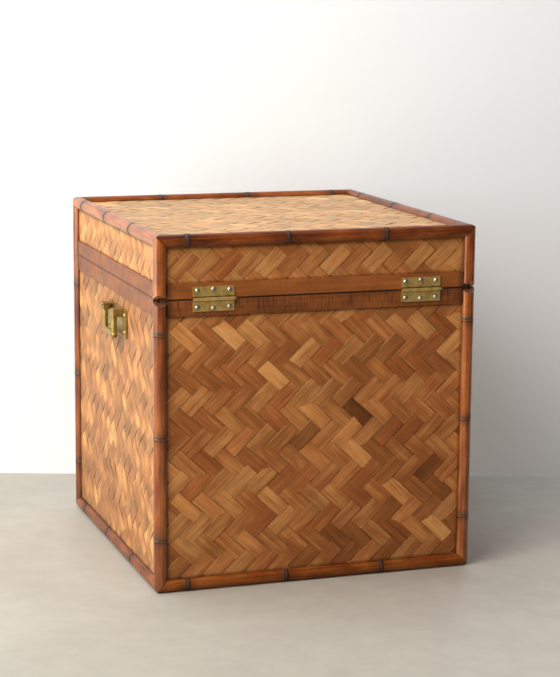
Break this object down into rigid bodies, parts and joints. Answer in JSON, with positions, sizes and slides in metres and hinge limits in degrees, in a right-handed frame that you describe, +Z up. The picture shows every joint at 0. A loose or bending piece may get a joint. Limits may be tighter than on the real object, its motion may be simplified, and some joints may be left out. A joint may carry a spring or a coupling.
{
  "type": "woven storage trunk with hinged lid",
  "caption": "Cube-shaped storage trunk of bamboo rods and twill-woven bamboo splits, with a lid on brass butt hinges and a brass bail handle on each side.",
  "frame": {"origin": "Middle of the base, on the plane of the flats under the base rods.", "axes": "+Z is up, +Y points out of the back face that carries the hinges, and +X points out of the right side as seen from the front."},
  "size_m": [0.5134, 0.5163, 0.52],
  "materials": {
    "bamboo_rod": "stained reddish brown, satin lacquer",
    "woven_splits": "split bamboo, light satin",
    "plywood": "plain sanded plywood",
    "band_wood": "stained brown, satin lacquer",
    "hardware_brass": "dulled satin brass",
    "screw_nickel": "nickel plated, domed"
  },
  "bodies": {
    "trunk_body": {"floor_panel": "plywood", "front_panel": "plywood", "back_panel": "plywood", "left_panel": "plywood", "right_panel": "plywood", "front_weave": "woven_splits", "back_weave": "woven_splits", "left_weave": "woven_splits", "right_weave": "woven_splits", "corner_rod_front_left": "bamboo_rod", "corner_rod_front_right": "bamboo_rod", "corner_rod_back_left": "bamboo_rod", "corner_rod_back_right": "bamboo_rod", "base_rod_front": "bamboo_rod", "base_rod_back": "bamboo_rod", "base_rod_left": "bamboo_rod", "base_rod_right": "bamboo_rod", "body_band_front": "band_wood", "body_band_back": "band_wood", "body_band_left": "band_wood", "body_band_right": "band_wood", "hinge_lower_leaf_left": "hardware_brass", "hinge_lower_leaf_right": "hardware_brass", "hinge_pin_left": "hardware_brass", "hinge_pin_right": "hardware_brass", "hinge_screws_lower": "screw_nickel", "handle_plate_left": "hardware_brass", "handle_plate_right": "hardware_brass", "handle_screws": "screw_nickel"},
    "lid": {"lid_top_panel": "plywood", "lid_front_panel": "plywood", "lid_back_panel": "plywood", "lid_left_panel": "plywood", "lid_right_panel": "plywood", "lid_top_weave": "woven_splits", "lid_front_weave": "woven_splits", "lid_back_weave": "woven_splits", "lid_left_weave": "woven_splits", "lid_right_weave": "woven_splits", "lid_rod_front": "bamboo_rod", "lid_rod_back": "bamboo_rod", "lid_rod_left": "bamboo_rod", "lid_rod_right": "bamboo_rod", "lid_corner_front_left": "bamboo_rod", "lid_corner_front_right": "bamboo_rod", "lid_corner_back_left": "bamboo_rod", "lid_corner_back_right": "bamboo_rod", "lid_band_front": "band_wood", "lid_band_back": "band_wood", "lid_band_left": "band_wood", "lid_band_right": "band_wood", "hinge_upper_leaf_left": "hardware_brass", "hinge_upper_leaf_right": "hardware_brass", "hinge_screws_upper": "screw_nickel"},
    "bail_left": {"handle_bail_left": "hardware_brass"},
    "bail_right": {"handle_bail_right": "hardware_brass"}
  },
  "joints": [
    {"name": "lid_hinge", "type": "hinge", "parent": "trunk_body", "child": "lid", "pos_m": [0, 0.2556, 0.427], "axis": [-1, 0, 0], "range_deg": [0, 140]},
    {"name": "bail_right_pivot", "type": "hinge", "parent": "trunk_body", "child": "bail_right", "pos_m": [0.2517, 0.019, 0.37725], "axis": [0, -1, 0], "range_deg": [0, 92]},
    {"name": "bail_left_pivot", "type": "hinge", "parent": "trunk_body", "child": "bail_left", "pos_m": [-0.2517, 0.019, 0.37725], "axis": [0, 1, 0], "range_deg": [0, 92]}
  ]
}
